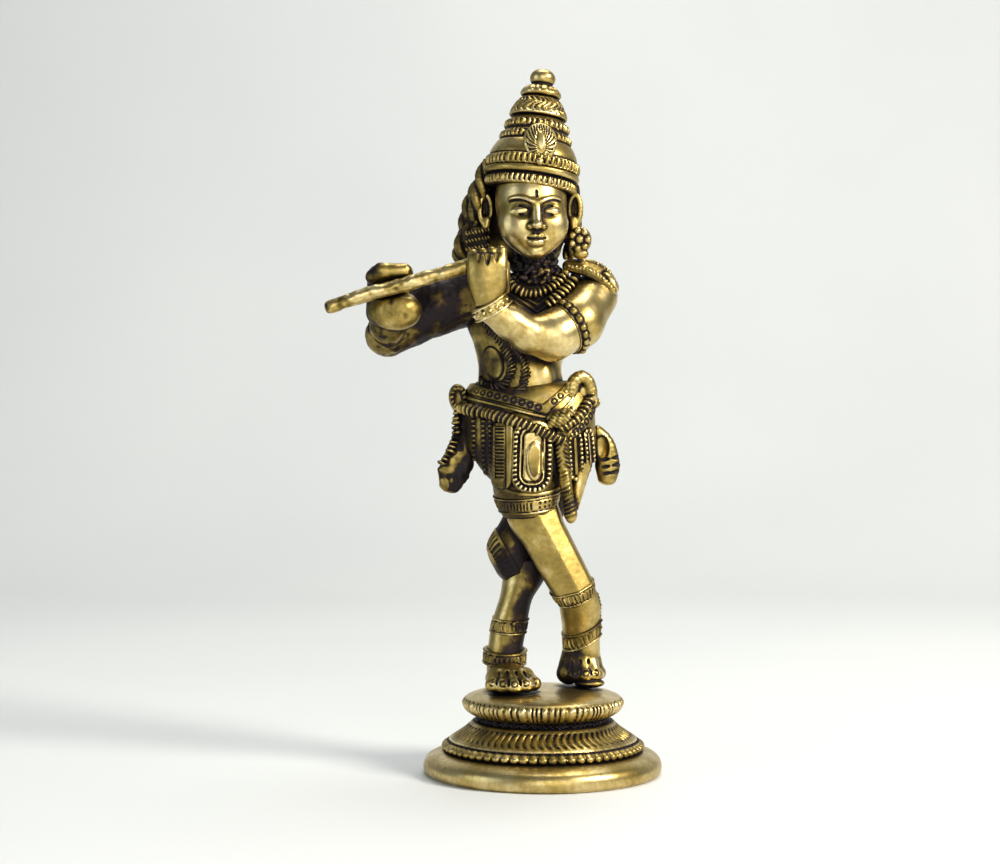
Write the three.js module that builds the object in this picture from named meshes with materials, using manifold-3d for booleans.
// A small cast brass figurine of a flute player in the tribhanga pose, with crossed legs, a tiered
// conical crown, a wrapped skirt with sashes, and a round stepped pedestal.
//
// Millimetres, +Z up, origin at the centre of the pedestal's underside. The figure faces -Y, so its own
// left side is at +X. Each sculpted member and each ornament is its own closed mesh. Neighbours are cut
// back from each other by GAP, with the piece that is listed first keeping its whole shape.
import * as THREE from "three";
import { mergeVertices } from "three/addons/utils/BufferGeometryUtils.js";
import Module from "manifold-3d";

const wasm = await Module();
wasm.setup();

// ---------------------------------------------------------------- driving dimensions
const HEIGHT = 115; // from the foot rim to the top of the crown's finial
const BASE_RADIUS = 19.5;
const GAP = 0.3; // between neighbouring pieces
const BAND_DEPTH = 1.0; // how far a band is let into the member it goes round
const SIDES = 10; // facets round a limb
const FINE_SIDES = 32; // facets round the pedestal
const CROWN_SIDES = 16;
const FINGER_SIDES = 6;

const P = (x, y, z) => new THREE.Vector3(x, y, z);

// Heights of the pedestal's steps.
const FOOT_TOP = 4.0;
const PETAL_TOP = 8.6;
const NECK_TOP = 9.7;
const CUSHION_TOP = 14.1;

// Joints of the figure.
const JOINT = {
  leftHip: P(5.0, 2.5, 54),
  leftThigh: P(-0.8, 3.6, 44),
  leftKnee: P(-5.4, 2.2, 36.8),
  leftAnkle: P(-6.3, 1.5, 20),
  rightHip: P(-5.0, -1.2, 54),
  rightThigh: P(-1.8, -3.2, 43.5),
  rightKnee: P(5.0, -2.4, 30.6),
  rightAnkle: P(6.5, 2.0, 20),
  neckBase: P(-0.8, 0.7, 80),
  neckTop: P(-1.6, -0.4, 87),
  head: P(-2.0, -1.6, 90.6),
  leftShoulder: P(8.3, 0.3, 78.3),
  leftUpperArm: P(6.2, -2.8, 74.6),
  leftElbow: P(2.6, -6.6, 71.6),
  leftWrist: P(-7.4, -11.4, 74.6),
  leftKnuckles: P(-8.9, -12.8, 81.6),
  rightShoulder: P(-9.4, 1.4, 77.6),
  rightUpperArm: P(-16.5, 0.4, 75.6),
  rightElbow: P(-25.2, -2.2, 71.5),
  rightWrist: P(-24.4, -6.6, 73.8),
  rightPalm: P(-24.1, -8.8, 75.1),
};

const FLUTE = { tip: P(-33.0, -12.2, 75.6), end: P(-6.4, -10.6, 83.8), radius: 1.15 };
const CROWN = { base: P(-2.0, -0.4, 96), lean: P(1.7, 1.5, 19) };

// ---------------------------------------------------------------- shapes, each a closed geometry
// A closed solid of revolution about +Z. The profile runs from the axis at the bottom to the axis at the top.
function lathe(profile, sides) {
  const points = profile.map(([radius, height]) => new THREE.Vector2(radius, height));
  return new THREE.LatheGeometry(points, sides).rotateX(Math.PI / 2);
}

// Turns +Z to a direction.
function turnTo(direction) {
  return new THREE.Quaternion().setFromUnitVectors(P(0, 0, 1), direction.clone().normalize());
}

// A tapered rod with round ends.
function capsule(a, b, radiusA, radiusB = radiusA, sides = SIDES) {
  const length = a.distanceTo(b);
  const steps = sides > FINGER_SIDES ? 2 : 1;
  const profile = [];
  for (let i = 0; i <= steps; i++) {
    const angle = (Math.PI / 2) * (1 - i / steps);
    profile.push([radiusA * Math.cos(angle), -radiusA * Math.sin(angle)]);
  }
  for (let i = 0; i <= steps; i++) {
    const angle = (Math.PI / 2) * (i / steps);
    profile.push([radiusB * Math.cos(angle), length + radiusB * Math.sin(angle)]);
  }
  profile[0][0] = 0;
  profile[profile.length - 1][0] = 0;
  return lathe(profile, sides)
    .applyQuaternion(turnTo(b.clone().sub(a)))
    .translate(...a);
}

// A chain of capsules through points with a radius at each.
function limb(stations, grow, sides = SIDES) {
  const rods = [];
  for (let i = 1; i < stations.length; i++) {
    const [a, radiusA] = stations[i - 1];
    const [b, radiusB] = stations[i];
    rods.push(capsule(a, b, radiusA + grow, radiusB + grow, sides));
  }
  return rods;
}

// An ellipsoid, turned by Euler angles in degrees.
function blob(centre, radii, grow, turn = [0, 0, 0], sides = SIDES) {
  const [rx, ry, rz] = radii.map((radius) => radius + grow);
  const angles = turn.map(THREE.MathUtils.degToRad);
  return new THREE.SphereGeometry(1, sides, Math.round(sides * 0.6))
    .rotateX(Math.PI / 2)
    .scale(rx, ry, rz)
    .applyQuaternion(new THREE.Quaternion().setFromEuler(new THREE.Euler(...angles)))
    .translate(...centre);
}

// A lofted column of level elliptical rings: [x, y, z, radius in x, radius in y] from the bottom up.
function column(rings, grow, sides = SIDES) {
  const last = rings.length - 1;
  const geometry = new THREE.CylinderGeometry(1, 1, last, sides, last).rotateX(Math.PI / 2);
  const position = geometry.attributes.position;
  for (let i = 0; i < position.count; i++) {
    const level = Math.round(position.getZ(i) + last / 2);
    const [x, y, z, rx, ry] = rings[level];
    const rise = level === last ? grow : level === 0 ? -grow : 0;
    position.setXYZ(
      i,
      x + position.getX(i) * (rx + grow),
      y + position.getY(i) * (ry + grow),
      z + rise,
    );
  }
  return geometry;
}

// A round cord along a smooth curve through points.
function cord(points, radius, steps = 10, sides = 6) {
  const section = new THREE.Shape();
  section.absarc(0, 0, radius, 0, Math.PI * 2);
  return new THREE.ExtrudeGeometry(section, {
    extrudePath: new THREE.CatmullRomCurve3(points),
    steps,
    curveSegments: sides,
    bevelEnabled: false,
  });
}

// ---------------------------------------------------------------- joining and cutting
function solidOf(geometry) {
  const bare = geometry.clone();
  bare.deleteAttribute("normal");
  bare.deleteAttribute("uv");
  const merged = mergeVertices(bare, 1e-4);
  const made = new wasm.Manifold(
    new wasm.Mesh({
      numProp: 3,
      vertProperties: new Float32Array(merged.attributes.position.array),
      triVerts: new Uint32Array(merged.index.array),
    }),
  );
  if (made.volume() > 0) return made;
  const turned = new Uint32Array(merged.index.array).reverse();
  return new wasm.Manifold(
    new wasm.Mesh({
      numProp: 3,
      vertProperties: new Float32Array(merged.attributes.position.array),
      triVerts: turned,
    }),
  );
}

function join(geometries) {
  return geometries.flat().map(solidOf).reduce((all, one) => all.add(one));
}

// The largest body of a solid, so that a cut leaves no loose sliver.
function largest(solid) {
  return solid.decompose().reduce((best, one) => (one.volume() > best.volume() ? one : best));
}

// A level slab of one height, turned so that its faces lie across an axis.
function slab(centre, axis, height) {
  const width = 40;
  return solidOf(
    new THREE.BoxGeometry(width, width, height).applyQuaternion(turnTo(axis)).translate(...centre),
  );
}

// A ring that follows a member's own outline: proud of it outside, and let into it by BAND_DEPTH.
function band(member, centre, axis, height, proud) {
  return (grow) =>
    join(member(proud + grow))
      .intersect(slab(centre, axis, height + 2 * grow))
      .subtract(join(member(-BAND_DEPTH - grow)));
}

// ---------------------------------------------------------------- members, as functions of how far they grow
const along = (from, to) => to.clone().sub(from);

const rightThigh = (grow) =>
  limb(
    [
      [JOINT.rightHip, 4.8],
      [JOINT.rightThigh, 3.9],
      [JOINT.rightKnee, 3.1],
    ],
    grow,
  );

const leftThigh = (grow) =>
  limb(
    [
      [JOINT.leftHip, 4.8],
      [JOINT.leftThigh, 4.2],
      [JOINT.leftKnee, 3.7],
    ],
    grow,
  );

const rightShin = (grow) => [
  column(
    [
      [6.7, 2.2, 17, 2.8, 2.9],
      [JOINT.rightAnkle.x, JOINT.rightAnkle.y, 20, 2.9, 3.0],
      [6.2, 0.9, 24, 3.0, 3.2],
      [5.8, -1.0, 28.2, 3.0, 3.2],
    ],
    grow,
  ),
];

const leftShin = (grow) => [
  column(
    [
      [-6.4, 1.4, 17, 2.9, 3.0],
      [JOINT.leftAnkle.x, JOINT.leftAnkle.y, 20, 2.9, 3.0],
      [-5.8, 1.8, 24, 3.0, 3.1],
      [-4.1, 2.3, 30, 3.0, 3.2],
      [-3.6, 2.4, 34.5, 3.2, 3.3],
    ],
    grow,
  ),
];

const skirtHips = (grow) => [
  column(
    [
      [-0.8, 0.8, 47.5, 7.4, 5.4],
      [-1.2, 0.6, 51, 9.2, 6.5],
      [-1.8, 0.3, 56, 10.2, 6.9],
      [-2.2, 0.3, 60, 9.6, 6.4],
      [-3.0, 0.5, 62.6, 8.0, 5.4],
    ],
    grow,
  ),
];

const skirtThigh = (grow) =>
  limb(
    [
      [P(-4.6, -1.6, 54), 6.2],
      [P(-2.7, -2.9, 46.4), 4.9],
    ],
    grow,
  );

const torso = (grow) => [
  column(
    [
      [-3.4, 0.6, 62.9, 7.4, 4.9],
      [-3.6, 0.6, 66, 6.9, 4.7],
      [-3.2, 0.4, 70, 7.8, 5.2],
      [-2.2, 0.2, 74, 9.0, 5.7],
      [-1.5, 0.4, 77.5, 9.4, 5.5],
      [-1.0, 0.8, 80.4, 8.0, 4.5],
      [-0.8, 0.8, 81.8, 4.8, 3.6],
    ],
    grow,
    12,
  ),
];

const leftUpperArm = (grow) =>
  limb(
    [
      [JOINT.leftShoulder, 4.2],
      [JOINT.leftUpperArm, 4.2],
      [JOINT.leftElbow, 3.9],
    ],
    grow,
  );

const leftForearm = (grow) =>
  limb(
    [
      [P(-0.6, -8.4, 72.1), 3.2],
      [JOINT.leftWrist, 2.2],
    ],
    grow,
  );

const rightUpperArm = (grow) =>
  limb(
    [
      [JOINT.rightShoulder, 4.0],
      [JOINT.rightUpperArm, 3.8],
      [JOINT.rightElbow, 3.3],
    ],
    grow,
  );

const rightForearm = (grow) =>
  limb(
    [
      [P(-25.1, -3.0, 71.9), 3.1],
      [JOINT.rightWrist, 2.7],
    ],
    grow,
  );

// The crown's own frame: +Z along its leaning axis from the rim above the forehead.
const crownTurn = turnTo(CROWN.lean);
const crownStep = (profile) => (grow) => {
  const grown = profile.map(([radius, height], i) => [
    radius === 0 ? 0 : radius + grow,
    height + (i < profile.length / 2 ? -grow : grow),
  ]);
  return [
    lathe(grown, CROWN_SIDES)
      .applyQuaternion(crownTurn)
      .translate(...CROWN.base),
  ];
};
const onCrown = (x, y, z) => P(x, y, z).applyQuaternion(crownTurn).add(CROWN.base);

// Five toes, side by side across a foot, each from a root to a tip.
function toes(root, tip, spread, radius, grow) {
  const count = 5;
  return Array.from({ length: count }, (_, i) => {
    const offset = spread.clone().multiplyScalar(i - (count - 1) / 2);
    return capsule(root.clone().add(offset), tip.clone().add(offset), radius + grow, radius * 0.9 + grow, FINGER_SIDES);
  });
}

// Four fingers, side by side across a hand, each through a list of points.
function fingers(path, spread, radius, grow) {
  const count = 4;
  return Array.from({ length: count }, (_, i) => {
    const offset = spread.clone().multiplyScalar(i - (count - 1) / 2);
    return limb(
      path.map((point) => [point.clone().add(offset), radius]),
      grow,
      FINGER_SIDES,
    );
  }).flat();
}

// ---------------------------------------------------------------- materials
const brass = (color, roughness) => new THREE.MeshStandardMaterial({ color, roughness, metalness: 1 });
const POLISHED = brass(0xc9a14a, 0.28);
const CHASED = brass(0xa88844, 0.42);
const DARKENED = brass(0x6e5a30, 0.55);

// ---------------------------------------------------------------- the pieces, the first listed cutting the later
const pieces = [];
const piece = (group, name, material, anchor, shape) => pieces.push({ group, name, material, anchor, shape });

// Pedestal.
piece("pedestal", "foot_disc", POLISHED, P(0, 0, 0), () => [
  lathe(
    [
      [0, 0],
      [BASE_RADIUS - 0.6, 0],
      [BASE_RADIUS, 0.7],
      [BASE_RADIUS, 2.0],
      [BASE_RADIUS - 0.6, 2.7],
      [16.6, FOOT_TOP],
      [0, FOOT_TOP],
    ],
    FINE_SIDES,
  ),
]);
piece("pedestal", "petal_skirt", CHASED, P(0, 0, FOOT_TOP), () => [
  lathe(
    [
      [0, FOOT_TOP + GAP],
      [16.3, FOOT_TOP + GAP],
      [16.4, FOOT_TOP + 0.8],
      [15.2, FOOT_TOP + 1.6],
      [11.4, PETAL_TOP],
      [0, PETAL_TOP],
    ],
    FINE_SIDES,
  ),
]);
piece("pedestal", "waist_ring", DARKENED, P(0, 0, PETAL_TOP), () => [
  lathe(
    [
      [0, PETAL_TOP + GAP],
      [10.5, PETAL_TOP + GAP],
      [10.5, NECK_TOP],
      [0, NECK_TOP],
    ],
    FINE_SIDES,
  ),
]);
piece("pedestal", "cushion_disc", POLISHED, P(0, 0, NECK_TOP), (grow) => [
  lathe(
    [
      [0, NECK_TOP + GAP],
      [11.2, NECK_TOP + GAP],
      [12.5, 10.6],
      [13.2, 11.6],
      [12.8, 12.6 + grow],
      [11.2, 13.3 + grow],
      [6.5, CUSHION_TOP - 0.2 + grow],
      [0, CUSHION_TOP + grow],
    ],
    FINE_SIDES,
  ),
]);

// Flute and hands.
piece("arms", "flute", CHASED, FLUTE.tip, (grow) => [
  capsule(FLUTE.tip, FLUTE.end, FLUTE.radius + grow, FLUTE.radius + grow),
]);
piece("arms", "left_bracelet", CHASED, JOINT.leftWrist, (grow) =>
  band(leftForearm, JOINT.leftWrist, along(JOINT.leftElbow, JOINT.leftWrist), 1.7, 0.55)(grow),
);
piece("arms", "left_hand", POLISHED, JOINT.leftWrist, (grow) => [
  column(
    [
      [-8.0, -12.0, 76.2, 2.3, 1.8],
      [-8.6, -12.6, 78.6, 3.0, 1.7],
      [-8.9, -12.8, 81.4, 3.1, 1.6],
      [-8.9, -12.6, 82.6, 2.9, 1.3],
    ],
    grow,
  ),
  ...fingers([P(-8.8, -12.7, 82.2), P(-8.7, -12.0, 84.2), P(-8.6, -10.6, 84.6)], P(1.45, 0, 0.1), 0.78, grow),
]);
piece("arms", "right_bracelet", CHASED, JOINT.rightWrist, (grow) =>
  band(rightForearm, P(-24.6, -5.6, 73.2), along(JOINT.rightElbow, JOINT.rightWrist), 1.3, 0.35)(grow),
);
piece("arms", "right_hand", POLISHED, JOINT.rightPalm, (grow) => [
  blob(JOINT.rightPalm, [4.1, 2.9, 3.1], grow),
  capsule(P(-26.9, -8.4, 76.2), P(-26.7, -8.0, 81.6), 1.5 + grow),
  ...fingers([P(-26.4, -8.6, 82.2), P(-23.8, -8.9, 82.4), P(-21.6, -9.1, 81.9)], P(0, 1.25, 0), 0.85, grow),
]);
piece("arms", "left_armlet", CHASED, JOINT.leftUpperArm, (grow) =>
  band(leftUpperArm, P(4.6, -4.4, 73.1), along(JOINT.leftUpperArm, JOINT.leftElbow), 2.0, 0.35)(grow),
);
piece("arms", "left_epaulette", CHASED, JOINT.leftShoulder, (grow) => [
  blob(P(8.8, 0.2, 81.4), [4.6, 3.4, 1.3], grow, [0, 34, 0]),
]);
piece("arms", "left_upper_arm", POLISHED, JOINT.leftShoulder, leftUpperArm);
piece("arms", "left_forearm", POLISHED, JOINT.leftElbow, leftForearm);
piece("arms", "right_upper_arm", POLISHED, JOINT.rightShoulder, rightUpperArm);
piece("arms", "right_forearm", POLISHED, JOINT.rightElbow, rightForearm);

// Crown.
piece("head", "crown_medallion", CHASED, CROWN.base, (grow) => [
  blob(onCrown(1.1, -5.7, 6.4), [2.6, 1.1, 3.3], grow, [16, 0, 10]),
]);
piece("head", "crown_finial", POLISHED, CROWN.base, (grow) =>
  crownStep([
    [0, 14.9],
    [3.0, 14.9],
    [3.1, 15.4],
    [1.6, 16.7],
    [1.9, 17.6],
    [1.4, 18.7],
    [0, HEIGHT - CROWN.base.z + 0.1],
  ])(grow),
);
piece("head", "crown_upper_tier", CHASED, CROWN.base, (grow) =>
  crownStep([
    [0, 10.2],
    [4.1, 10.2],
    [4.7, 11.2],
    [4.4, 12.1],
    [3.0, 14.6],
    [0, 14.6],
  ])(grow),
);
piece("head", "crown_cone", CHASED, CROWN.base, (grow) =>
  crownStep([
    [0, 3.8],
    [7.2, 3.8],
    [6.9, 5.6],
    [6.0, 7.6],
    [5.2, 9.0],
    [4.2, 9.9],
    [0, 9.9],
  ])(grow),
);
piece("head", "crown_band", CHASED, CROWN.base, (grow) =>
  crownStep([
    [0, 0.4],
    [7.1, 0.4],
    [7.6, 1.2],
    [7.7, 2.6],
    [7.3, 3.5],
    [0, 3.5],
  ])(grow),
);

// Head, hair and earrings.
piece("head", "left_earring", CHASED, P(5.6, -0.8, 87), (grow) => [blob(P(5.6, -0.8, 87), [1.7, 1.6, 2.6], grow)]);
piece("head", "right_earring", CHASED, P(-10.3, -0.8, 87), (grow) => [
  blob(P(-10.3, -0.8, 87), [2.0, 1.8, 2.5], grow),
]);
piece("head", "left_ear", POLISHED, P(4.7, 0, 91.7), (grow) => [blob(P(4.7, 0, 91.7), [1.0, 1.6, 2.7], grow)]);
piece("head", "right_ear", POLISHED, P(-8.9, 0, 91.7), (grow) => [blob(P(-8.9, 0, 91.7), [1.0, 1.6, 2.7], grow)]);
piece("head", "head", POLISHED, JOINT.head, (grow) => [
  blob(JOINT.head, [5.9, 6.2, 7.0], grow, [0, 0, 0], 14),
  blob(P(-2.1, -3.0, 87.2), [4.4, 4.3, 3.7], grow),
  capsule(P(-1.9, -7.7, 91.4), P(-1.8, -8.6, 88.9), 0.5 + grow, 0.8 + grow, 8),
]);
piece("head", "hair", DARKENED, P(-4, 4, 91), (grow) => [
  blob(P(-3.4, 4.0, 90.4), [7.2, 4.6, 8.2], grow),
  ...limb(
    [
      [P(-9.0, 2.6, 96.4), 1.9],
      [P(-11.0, 3.0, 91.6), 2.3],
      [P(-11.4, 3.2, 86.0), 2.6],
    ],
    grow,
  ),
]);

// Necklaces and garland.
piece("trunk", "collar", CHASED, JOINT.neckBase, (grow) => [
  cord([P(-5.2, -3.0, 82.6), P(-3.4, -4.6, 80.4), P(-0.8, -4.8, 80.2), P(2.2, -3.8, 82.2), P(3.9, -1.8, 84.2)], 0.9 + grow),
]);
piece("trunk", "inner_necklace", CHASED, JOINT.neckBase, (grow) => [
  cord([P(-6.4, -3.6, 80.6), P(-4.2, -5.3, 78.4), P(-0.8, -5.6, 78.4), P(2.2, -4.6, 80.4), P(4.4, -2.4, 83.0)], 0.8 + grow),
]);
piece("trunk", "outer_necklace", CHASED, JOINT.neckBase, (grow) => [
  cord([P(2.0, -5.6, 77.4), P(4.0, -4.4, 79.8), P(5.4, -2.6, 82.2), P(5.4, -0.6, 83.6)], 0.8 + grow, 7),
]);
piece("trunk", "chest_garland", CHASED, P(-4, -5, 66), (grow) => [
  cord([P(-4.4, -4.7, 69.6), P(-3.2, -5.0, 66.8), P(-3.4, -4.7, 64.4), P(-6.0, -4.0, 63.6), P(-8.6, -2.6, 65.0)], 1.3 + grow),
]);

// Waist and skirt.
piece("skirt", "waist_knot", CHASED, P(2.2, -6.6, 59), (grow) => [blob(P(2.2, -6.4, 59.2), [2.2, 1.5, 1.6], grow)]);
piece("skirt", "front_tassel", CHASED, P(3.4, -6, 52), (grow) =>
  limb(
    [
      [P(2.4, -6.4, 56.6), 1.2],
      [P(3.6, -5.9, 48.6), 1.3],
      [P(4.8, -5.0, 42.2), 1.2],
    ],
    grow,
    8,
  ),
);
piece("skirt", "front_petal", CHASED, P(-2, -7.6, 52), (grow) => [
  blob(P(-1.6, -6.9, 52.2), [3.1, 1.5, 5.4], grow, [-9, 0, 0]),
]);
piece("skirt", "upper_belt", CHASED, P(-2.4, 0, 62), (grow) =>
  band(skirtHips, P(-2.6, 0, 61.4), P(0, -0.28, 1), 1.8, 0.7)(grow),
);
piece("skirt", "rope_belt", CHASED, P(-2.2, 0, 59), (grow) =>
  band(skirtHips, P(-2.2, 0, 58.6), P(-0.04, -0.2, 1), 1.6, 0.8)(grow),
);
piece("skirt", "thigh_cuff", CHASED, P(-2.7, -3, 46), (grow) =>
  band(skirtThigh, P(-2.6, -3.0, 45.6), P(-0.25, 0.12, 1), 2.6, 0.4)(grow),
);
piece("skirt", "right_sash_knot", CHASED, P(-13.2, 1.6, 62.4), (grow) => [
  blob(P(-13.0, 1.6, 62.6), [1.9, 1.9, 2.3], grow),
]);
piece("skirt", "left_sash_knot", CHASED, P(6.8, 1.4, 63.6), (grow) => [
  blob(P(6.2, 1.4, 63.8), [1.9, 1.9, 2.3], grow),
]);
piece("skirt", "right_sash_tail", CHASED, P(-13.6, 2, 54), (grow) => [
  ...limb(
    [
      [P(-12.9, 1.8, 60.2), 1.4],
      [P(-13.2, 2.0, 53.6), 1.7],
    ],
    grow,
    8,
  ),
  blob(P(-14.2, 2.0, 49.4), [2.6, 1.3, 5.2], grow, [0, 16, 0]),
]);
piece("skirt", "left_sash_tail", CHASED, P(10, 2, 52), (grow) => [
  blob(P(9.7, 2.0, 51.8), [2.5, 1.5, 4.8], grow, [0, -8, 0]),
]);
piece("skirt", "skirt_hips", CHASED, P(-1.8, 0.4, 55), skirtHips);
piece("skirt", "skirt_thigh_wrap", CHASED, P(-3.6, -2.2, 50), skirtThigh);

// Legs and feet.
piece("legs", "left_knee_hem", CHASED, JOINT.leftKnee, (grow) =>
  band(leftThigh, P(-5.9, 2.1, 36.3), P(0.62, 0, 0.78), 3.0, 0.5)(grow),
);
piece("legs", "right_knee_band", CHASED, JOINT.rightKnee, (grow) =>
  band(rightThigh, P(5.2, -2.2, 30.2), P(-0.55, -0.12, 1), 2.0, 0.45)(grow),
);
piece("legs", "right_calf_band", CHASED, P(6.3, 1.0, 23), (grow) =>
  band(rightShin, P(6.3, 1.0, 23), P(-0.12, -0.25, 1), 2.0, 0.5)(grow),
);
piece("legs", "left_calf_band", CHASED, P(-5.8, 1.8, 23.8), (grow) =>
  band(leftShin, P(-5.8, 1.8, 23.8), P(0, -0.12, 1), 2.0, 0.5)(grow),
);
piece("legs", "left_anklet", CHASED, P(-6.3, 1.4, 18.8), (grow) =>
  band(leftShin, P(-6.3, 1.4, 18.6), P(0.06, -0.12, 1), 2.0, 0.8)(grow),
);
piece("legs", "right_foot", POLISHED, P(6.8, 1.4, 15.6), (grow) => [
  blob(P(6.9, 2.0, 17.0), [3.1, 3.0, 3.2], grow),
  ...toes(P(7.2, 0.4, 16.6), P(7.3, -1.4, 15.3), P(1.35, -0.15, 0), 0.95, grow),
]);
piece("legs", "left_foot", POLISHED, P(-6, -1, 15.6), (grow) => [
  ...limb(
    [
      [P(-6.7, 3.0, 16.6), 2.5],
      [P(-6.0, -2.6, 16.6), 2.7],
    ],
    grow,
  ),
  ...toes(P(-5.2, -4.4, 16.0), P(-4.7, -7.6, 15.2), P(1.5, 0.15, 0), 0.95, grow),
]);
piece("legs", "right_thigh", POLISHED, JOINT.rightHip, rightThigh);
piece("legs", "left_thigh", CHASED, JOINT.leftHip, leftThigh);
piece("legs", "right_shin", POLISHED, JOINT.rightKnee, rightShin);
piece("legs", "left_shin", POLISHED, JOINT.leftKnee, leftShin);

// Trunk.
piece("trunk", "torso", POLISHED, P(-2.4, 0.5, 72), torso);
piece("trunk", "neck", POLISHED, JOINT.neckBase, (grow) =>
  limb(
    [
      [JOINT.neckBase, 3.1],
      [JOINT.neckTop, 2.9],
    ],
    grow,
  ),
);

// ---------------------------------------------------------------- the assembly
const GROUP_ORIGIN = {
  pedestal: P(0, 0, 0),
  legs: P(0, 0, CUSHION_TOP),
  skirt: P(-2, 0, 55),
  trunk: P(-2, 0, 72),
  arms: P(0, 0, 76),
  head: JOINT.head,
};

const solidFrom = (shape, grow) => {
  const made = shape(grow);
  return Array.isArray(made) ? join(made) : made;
};

function apart(a, b) {
  return ["0", "1", "2"].some((axis) => a.min[axis] > b.max[axis] || a.max[axis] < b.min[axis]);
}

function geometryOf(solid, anchor) {
  const { numProp, vertProperties, triVerts } = solid.getMesh();
  const count = vertProperties.length / numProp;
  const position = new Float32Array(count * 3);
  for (let i = 0; i < count; i++) {
    position.set(vertProperties.subarray(i * numProp, i * numProp + 3), i * 3);
  }
  return new THREE.BufferGeometry()
    .setAttribute("position", new THREE.BufferAttribute(position, 3))
    .setIndex(new THREE.BufferAttribute(triVerts, 1))
    .translate(-anchor.x, -anchor.y, -anchor.z);
}

const figurine = new THREE.Group();
const groups = Object.fromEntries(
  Object.entries(GROUP_ORIGIN).map(([name, origin]) => {
    const group = new THREE.Group();
    group.position.copy(origin);
    figurine.add(group);
    return [name, group];
  }),
);

const cutters = [];
for (const { group, name, material, anchor, shape } of pieces) {
  let solid = solidFrom(shape, 0);
  for (const cutter of cutters) {
    if (!apart(solid.boundingBox(), cutter.box)) solid = solid.subtract(cutter.solid);
  }
  solid = largest(solid);
  const grown = solidFrom(shape, GAP);
  cutters.push({ solid: grown, box: grown.boundingBox() });

  const mesh = new THREE.Mesh(geometryOf(solid, anchor), material.clone());
  mesh.name = name;
  mesh.position.copy(anchor).sub(GROUP_ORIGIN[group]);
  groups[group].add(mesh);
}

export default figurine;
